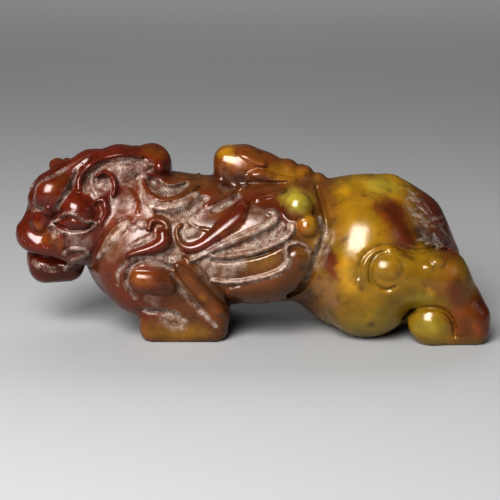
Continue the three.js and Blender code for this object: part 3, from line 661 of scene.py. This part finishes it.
MAHOGANY = (0.090, 0.011, 0.002)
UMBER = (0.030, 0.007, 0.002)
RUSSET = (0.105, 0.021, 0.004)
BROWN = (0.105, 0.036, 0.008)
ROSE = (0.170, 0.085, 0.038)
AMBER = (0.190, 0.058, 0.005)
HONEY = (0.320, 0.180, 0.006)
OLIVE = (0.200, 0.112, 0.005)
MOSS = (0.240, 0.195, 0.025)
FROST = (0.440, 0.375, 0.325)
DEEP_FROST = (0.125, 0.056, 0.030)


# Stain patches of the stone, with a few patches of painted shade and a painted highlight among them: each is
# (colour, share, points (along, up, half-width)).

def head_stains_and_shade():
    return [
        # Painted shade: umber darkening the cheek under the eye.
        (UMBER, 0.55, [(5, -1.3, 1), (3.5, -1.9, 1.1)]),
        # Painted shade: umber darkening the front of the lower jaw just under the mouth.
        (UMBER, 0.5, [(9.6, -4.8, 1.1), (6.8, -5.6, 1.3)]),
        (AMBER, 0.6, [(9.4, 1.4, 0.6), (8.8, -0.1, 0.8), (8.3, -0.8, 0.6)]),
        (AMBER, 0.7, [(7.1, -0.3, 0.5), (6.5, -1.4, 0.6)]),
        (AMBER, 0.35, [(7.2, 6.6, 1), (6.4, 7.4, 0.9)]),
        (OLIVE, 0.2, [(-4.1, 11, 0.8), (-5.7, 10.7, 0.9)]),
        (UMBER, 0.3, [(-4.7, 7.4, 1), (-6.6, 7.2, 1.3)]),
    ]


def front_stains():
    return [
        (BROWN, 0.8, [(-16.3, 14, 1.2), (-17.6, 11.6, 1.2)]),
        (RUSSET, 0.7, [(-17.7, 7.7, 1.8), (-16, 5.8, 1.8)]),
        (MAHOGANY, 0.9, [(-10.6, 14, 1.1), (-11.3, 12.7, 1.1), (-13.5, 12, 0.8)]),
        (AMBER, 0.9, [(-14, 8.6, 1), (-13, 8.3, 1)]),
        (AMBER, 0.45, [(-8.4, 7.9, 1), (-6.2, 5.8, 1.1), (-4.3, 4, 1)]),
        (HONEY, 0.35, [(-6, 6.1, 0.4), (-5.7, 5.9, 0.4)]),
        (OLIVE, 0.5, [(-12.6, 1.7, 1.2), (-10.1, 1.2, 1.2), (-6.3, 1.6, 1.1)]),
        (MAHOGANY, 0.95, [(-1.1, 17.5, 1.2), (-2.6, 15.7, 1.2), (-4.6, 13.6, 1), (-7.4, 12.4, 0.9)]),
        (AMBER, 0.4, [(-3.6, 14.7, 0.5), (-3.2, 14.4, 0.5)]),
        (OLIVE, 0.3, [(-0.2, 10.7, 1.1), (2.5, 11, 1.1)]),
        (MAHOGANY, 0.7, [(-2.3, 18.7, 0.6), (0.6, 19, 0.9), (3.1, 18.1, 0.9), (4, 16.7, 0.6)]),
        (MAHOGANY, 0.6, [(-5.8, 17.1, 0.9), (-5, 19.2, 0.9)]),
    ]


def plume_stains_and_shade():
    return [
        (AMBER, 0.5, [(-3.2, 24.7, 1.5), (0, 24, 1.8), (3.8, 22.8, 1.6), (6.4, 22.3, 1.2)]),
        (HONEY, 0.7, [(-3.6, 24.7, 0.6), (-2.5, 25.1, 0.6), (-2.7, 24, 0.5)]),
        (OLIVE, 0.6, [(3.2, 22.5, 1), (5.8, 22.1, 1.1)]),
        # Painted shade: umber laid into the hollow at the foot of the plume's front end.
        (UMBER, 0.75, [(-4.3, 21.7, 0.9), (-2.5, 21.2, 1), (-0.9, 21.3, 0.8)]),
    ]


def rear_stains_and_highlight():
    return [
        (OLIVE, 1, [(10.6, 16.7, 3.2), (13.4, 12.2, 5), (15.3, 7.2, 4.5), (20.3, 7.8, 3.5),
            (22.3, 3.9, 3)]),
        (OLIVE, 1, [(11.4, 20.1, 2.8), (15.6, 18.7, 3.8), (17.9, 15.4, 2.5)]),
        (BROWN, 0.65, [(9.2, 20.4, 1.6), (9.8, 17.4, 1.5), (10.6, 14.6, 1.2)]),
        (BROWN, 0.6, [(24.4, 9.3, 1.6), (23.4, 7.6, 1.5)]),
        (MOSS, 0.7, [(15.9, 20.6, 1.1), (17.7, 20, 1.1)]),
        (HONEY, 0.5, [(18, 19.5, 0.6), (18.5, 19.1, 0.5)]),
        (HONEY, 0.7, [(11.9, 20.2, 0.6), (12.2, 19.8, 0.5)]),
        # Painted highlight: a lighter honey patch round the sheen on the haunch.
        (HONEY, 0.3, [(11.7, 15.4, 1.8), (14.9, 14, 1.8)]),
        (MOSS, 0.4, [(14.4, 2.6, 2), (17.5, 3.2, 1.5)]),
        (MOSS, 0.6, [(20, 5.4, 1), (21.7, 6, 0.9)]),
        (ROSE, 0.75, [(9, 7.9, 1.1), (10.2, 5.6, 1.1)]),
        (RUSSET, 0.95, [(9.5, 12.2, 0.6), (10, 10.7, 0.9), (10.7, 9.1, 0.8)]),
        (HONEY, 0.7, [(11.2, 10.9, 0.5), (11.7, 9.3, 0.8), (12.4, 7.8, 0.8)]),
        (HONEY, 0.5, [(14.4, 3.8, 0.6), (15, 3.7, 0.5)]),
        (MAHOGANY, 1, [(23.4, 18.9, 2.5), (24.5, 15.9, 2.8), (25.2, 13.2, 2)]),
        (MAHOGANY, 0.9, [(17.4, 17.9, 1.4), (18.5, 15.4, 1.8), (19.4, 13.1, 1.1)]),
        (AMBER, 0.8, [(15.6, 17.6, 0.5), (16.5, 16.8, 0.5)]),
        (UMBER, 0.9, [(21.4, 14.4, 1.0), (23.2, 13.2, 1.0)]),
        (MAHOGANY, 0.95, [(29.1, 5.1, 1.9), (29.4, 2.2, 2)]),
        (RUSSET, 0.85, [(25.6, 7.0, 1.4), (26.0, 4.6, 1.5), (26.3, 2.3, 1.7)]),
        (AMBER, 0.6, [(28.1, 2.5, 0.6), (28.8, 1.9, 0.6)]),
        (HONEY, 0.8, [(21.9, 7.2, 0.4), (22.2, 6.9, 0.4)]),
        (MOSS, 0.55, [(21.5, 2.7, 1.4), (23, 2, 1.4)]),
        (BROWN, 0.6, [(9.8, 21.8, 1), (8.7, 18.7, 0.6), (8.4, 15.4, 0.5)]),
        (MOSS, 1, [(5.5, 18.7, 1.4), (6, 18.3, 1.4)]),
        (HONEY, 0.4, [(6.9, 16.3, 1), (7, 15.7, 0.9)]),
        (RUSSET, 0.7, [(5.2, 16.7, 0.5), (6, 16.4, 0.4)]),
        (AMBER, 0.5, [(6.1, 15, 0.8), (6.5, 14.5, 0.6)]),
    ]


def smooth_patches(patches):
    return [(shade, share, smooth_line(points)) for shade, share, points in patches]


FLANK_STAINS_SHADE_AND_HIGHLIGHT = smooth_patches(front_stains() + plume_stains_and_shade() + rear_stains_and_highlight())
HEAD_STAINS_AND_SHADE = smooth_patches(head_stains_and_shade())


def paint(colour, u, v, patches, over):
    """Lays the stain patches, with the patches of painted shade and painted highlight, of a drawing plane over
    the colour, with wandering soft edges.
    """
    u, v = (u + 0.2 * np.sin(1.9 * v + 0.8 * u) + 0.1 * np.sin(5.3 * v - 3.1 * u),
            v + 0.2 * np.sin(1.7 * u - 0.9 * v + 1) + 0.1 * np.sin(4.7 * u + 3.9 * v))
    for shade, share, line in patches:
        margin = 2 * line[:, 2].max()
        low, high = line.min(0) - margin, line.max(0) + margin
        near = (u > low[0]) & (u < high[0]) & (v > low[1]) & (v < high[1])
        q, _ = across_stroke(u[near], v[near], line)
        weight = (share * over[near] * fade(1.8, 0.2, q))[:, None]
        colour[near] += weight * (np.array(shade) - colour[near])


def colour_stone(p):
    """Colour at points in millimetres: red-brown in front, brown in the middle, olive behind, with stain
    patches and a few patches of painted shade and painted highlight.
    """
    h = to_head(p)
    on_head = fade(0.8, -0.8, head(h) - body(p))
    colour = np.empty((len(p[0]), 3))
    colour[:] = RUSSET
    for shade, share in ((BROWN, fade(-15, -7, p[0])), (OLIVE, fade(7, 11, p[0])), (MAHOGANY, on_head)):
        colour += share[:, None] * (np.array(shade) - colour)
    up = p[2] - math.tan(DRAWING_TILT) * (np.abs(p[1]) - FLANK_PLANE)
    paint(colour, p[0], up, FLANK_STAINS_SHADE_AND_HIGHLIGHT, 1 - on_head)
    shift = HEAD_PLANE - np.abs(h[1])
    paint(colour, h[0] + shift * FORWARD_SHIFT, h[2] + shift * UP_SHIFT, HEAD_STAINS_AND_SHADE, on_head)
    return colour


def build_stone():
    lines = [grid_line(stops) for stops in (GRID_X, GRID_Y, GRID_Z)]
    corners, quads = drop_loose(*surface(sample(lines), lines))
    corners = settle(corners)
    _, (frost, polish, tick, way) = stone(list(corners.T), details=True)
    middle = (corners.min(0) + corners.max(0)) / 2
    middle[2] = 0
    mesh = bpy.data.meshes.new("jade_beast_stone")
    mesh.vertices.add(len(corners))
    mesh.vertices.foreach_set("co", ((corners - middle) * SCALE * MM).ravel())
    mesh.loops.add(quads.size)
    mesh.loops.foreach_set("vertex_index", quads.ravel())
    mesh.polygons.add(len(quads))
    mesh.polygons.foreach_set("loop_start", np.arange(0, quads.size, 4))
    mesh.update(calc_edges=True)
    mesh.shade_smooth()
    colour = mesh.color_attributes.new("stone_colour", "FLOAT_COLOR", "POINT")
    tint = np.ones((len(corners), 4))
    tint[:, :3] = colour_stone(corners.T)
    colour.data.foreach_set("color", tint.ravel())
    for name, values in (("frost", np.clip(frost - polish, 0, 1)), ("tick", tick * (1 - polish)), ("way", way)):
        mesh.attributes.new(name, "FLOAT", "POINT").data.foreach_set("value", values)
    piece = bpy.data.objects.new("jade_beast_stone", mesh)
    bpy.context.collection.objects.link(piece)
    return piece, middle


# Jade: stained, with some painted shade and a painted highlight in its colour, mottled and speckled, polished
# on what stands out and frosted by the tool in the grooves

class Nodes:
    """Short names for the nodes of one material."""

    def __init__(self, name):
        self.material = bpy.data.materials.new(name)
        self.material.use_nodes = True
        self.tree = self.material.node_tree
        self.shader = self.tree.nodes["Principled BSDF"]

    def add(self, kind, inputs, output=0, **settings):
        made = self.tree.nodes.new(kind)
        for name, value in settings.items():
            setattr(made, name, value)
        for key, value in inputs.items():
            if isinstance(value, bpy.types.NodeSocket):
                self.tree.links.new(value, made.inputs[key])
            else:
                made.inputs[key].default_value = value
        return made.outputs[output]

    def attribute(self, name, output):
        return self.add("ShaderNodeAttribute", {}, output, attribute_name=name)

    def noise(self, place, scale, detail=3):
        return self.add("ShaderNodeTexNoise", {"Vector": place, "Scale": scale, "Detail": detail})

    def remap(self, value, start, end, low, high):
        return self.add("ShaderNodeMapRange", {0: value, 1: start, 2: end, 3: low, 4: high})

    def sums(self, operation, a, b):
        return self.add("ShaderNodeMath", {0: a, 1: b}, operation=operation)

    def mix(self, share, a, b):
        return self.add("ShaderNodeMix", {0: share, 6: a, 7: b}, 2, data_type="RGBA")


def jade_material():
    jade = Nodes("jade_stone")
    place = jade.add("ShaderNodeTexCoord", {}, 3)
    # Vertex colour: stains, with the painted shade and painted highlight laid in by paint()
    stain_and_shade = jade.attribute("stone_colour", 0)
    frost = jade.attribute("frost", 2)
    tick = jade.attribute("tick", 2)
    way = jade.attribute("way", 2)

    clouds = jade.remap(jade.noise(place, 300, 5), 0.3, 0.7, 0.72, 1.35)
    mottled = jade.add("ShaderNodeVectorMath", {0: stain_and_shade, 3: clouds}, operation="SCALE")
    veins = jade.remap(jade.noise(place, 620, 8), 0.42, 0.28, 0, 0.5)
    veined = jade.mix(veins, mottled, (*UMBER, 1))
    pits = jade.remap(jade.noise(place, 2300, 2), 0.70, 0.80, 0, 0.3)
    pitted = jade.mix(pits, veined, (*FROST, 1))

    grain = jade.noise(place, 6000, 2)
    comb = jade.add("ShaderNodeMath", {0: jade.sums("MULTIPLY", way, 22.0)}, operation="SINE")
    combed = jade.sums("MULTIPLY", tick, jade.remap(comb, -0.3, 0.7, 0, 1))
    cover = jade.remap(grain, 0.4, 0.6, 0.3, 1)
    cover = jade.sums("MULTIPLY", cover, jade.remap(combed, 0, 1, 1, 0.62))
    cover = jade.sums("MULTIPLY", cover, frost)
    frosting = jade.mix(jade.remap(jade.noise(place, 1100, 4), 0.35, 0.62, 0, 1), (*DEEP_FROST, 1), (*FROST, 1))
    colour = jade.mix(cover, pitted, frosting)

    polished = jade.remap(jade.noise(place, 900, 3), 0.3, 0.7, 0.19, 0.29)
    rough = jade.add("ShaderNodeMix", {0: frost, 2: polished, 3: 0.5}, 0, data_type="FLOAT")
    dents = jade.sums("MULTIPLY", jade.sums("ADD", grain, jade.sums("MULTIPLY", combed, -0.8)), frost)
    relief = jade.sums("ADD", dents, jade.sums("MULTIPLY", jade.noise(place, 1500, 2), 0.12))
    bump = jade.add("ShaderNodeBump", {"Strength": 0.8, "Distance": 0.00010, "Height": relief})

    link = jade.tree.links.new
    link(colour, jade.shader.inputs["Base Color"])
    link(rough, jade.shader.inputs["Roughness"])
    link(bump, jade.shader.inputs["Normal"])
    jade.shader.inputs["Specular IOR Level"].default_value = 0.45
    jade.shader.inputs["IOR"].default_value = 1.61
    jade.shader.inputs["Subsurface Weight"].default_value = 0.2
    jade.shader.inputs["Subsurface Radius"].default_value = (1.0, 0.45, 0.15)
    jade.shader.inputs["Subsurface Scale"].default_value = 0.0012
    return jade.material


def floor():
    mesh = bpy.data.meshes.new("floor")
    mesh.from_pydata([(-2, -1, 0), (2, -1, 0), (2, 4, 0), (-2, 4, 0)], [], [(0, 1, 2, 3)])
    piece = bpy.data.objects.new("floor", mesh)
    bpy.context.collection.objects.link(piece)
    material = bpy.data.materials.new("floor")
    material.use_nodes = True
    shader = material.node_tree.nodes["Principled BSDF"]
    shader.inputs["Base Color"].default_value = (0.35, 0.35, 0.35, 1)
    shader.inputs["Roughness"].default_value = 0.9
    mesh.materials.append(material)


def softbox(name, place, width, height, power, target=(0, 0, 0.01)):
    light = bpy.data.lights.new(name, "AREA")
    light.shape = "RECTANGLE"
    light.size = width
    light.size_y = height
    light.energy = power
    lamp = bpy.data.objects.new(name, light)
    lamp.location = place
    lamp.rotation_euler = (Vector(place) - Vector(target)).to_track_quat("Z", "Y").to_euler()
    bpy.context.collection.objects.link(lamp)
    return lamp


def camera(middle):
    distance, target_height, elevation = 170, 10, math.radians(14)
    data = bpy.data.cameras.new("camera")
    data.sensor_width = 36
    data.lens = 93.6
    data.clip_start = 0.001
    place = bpy.data.objects.new("camera", data)
    target = Vector((-middle[0], -middle[1], target_height)) * SCALE * MM
    back = Vector((0, -math.cos(elevation), math.sin(elevation)))
    place.location = target + back * distance * SCALE * MM
    place.rotation_euler = back.to_track_quat("Z", "Y").to_euler()
    bpy.context.collection.objects.link(place)
    bpy.context.scene.camera = place


stone_piece, stone_middle = build_stone()
stone_piece.data.materials.append(jade_material())
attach(stone_piece, "root")
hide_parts("jade_beast")

floor()
softbox("window", (-0.095, -0.22, 0.19), 0.18, 0.22, 2.25)
softbox("fill", (0.25, -0.12, 0.14), 0.14, 0.10, 0.05)
softbox("backdrop", (0, 0.9, 0.8), 1.4, 0.8, 9.0, (0, 0.9, 0)).visible_glossy = False
world = bpy.data.worlds.new("room")
bpy.context.scene.world = world
world.use_nodes = True
world.node_tree.nodes["Background"].inputs["Color"].default_value = (0.5, 0.5, 0.5, 1)
world.node_tree.nodes["Background"].inputs["Strength"].default_value = 0.26
bpy.context.scene.view_settings.view_transform = "Standard"
bpy.context.scene.view_settings.gamma = 0.75
camera(stone_middle)
